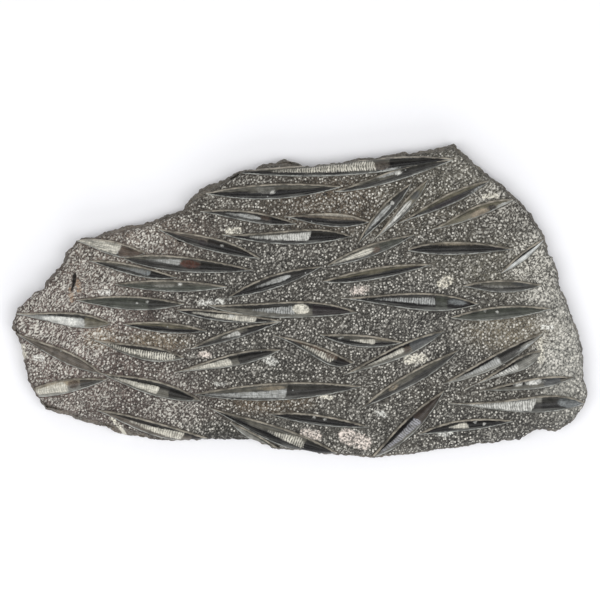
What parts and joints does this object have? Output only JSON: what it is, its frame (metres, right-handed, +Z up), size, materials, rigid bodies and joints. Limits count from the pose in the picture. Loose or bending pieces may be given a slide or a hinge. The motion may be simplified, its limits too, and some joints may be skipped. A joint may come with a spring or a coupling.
{
  "type": "fossil limestone slab",
  "caption": "Flat slab of dark limestone with polished straight-shelled fossils in low relief on a chiselled face; lies on its flat underside.",
  "frame": {"origin": "middle of the slab's box, on its flat underside", "axes": "+X along the slab's length towards its broad end, +Y across it, +Z up out of the fossil face"},
  "size_m": [0.5786, 0.316, 0.0352],
  "materials": {
    "limestone": "rough chiselled dark grey ground with pale chisel marks, and polished fossils with cream and black insides"
  },
  "bodies": {
    "root": {"fossil_slab": "limestone"}
  },
  "joints": []
}
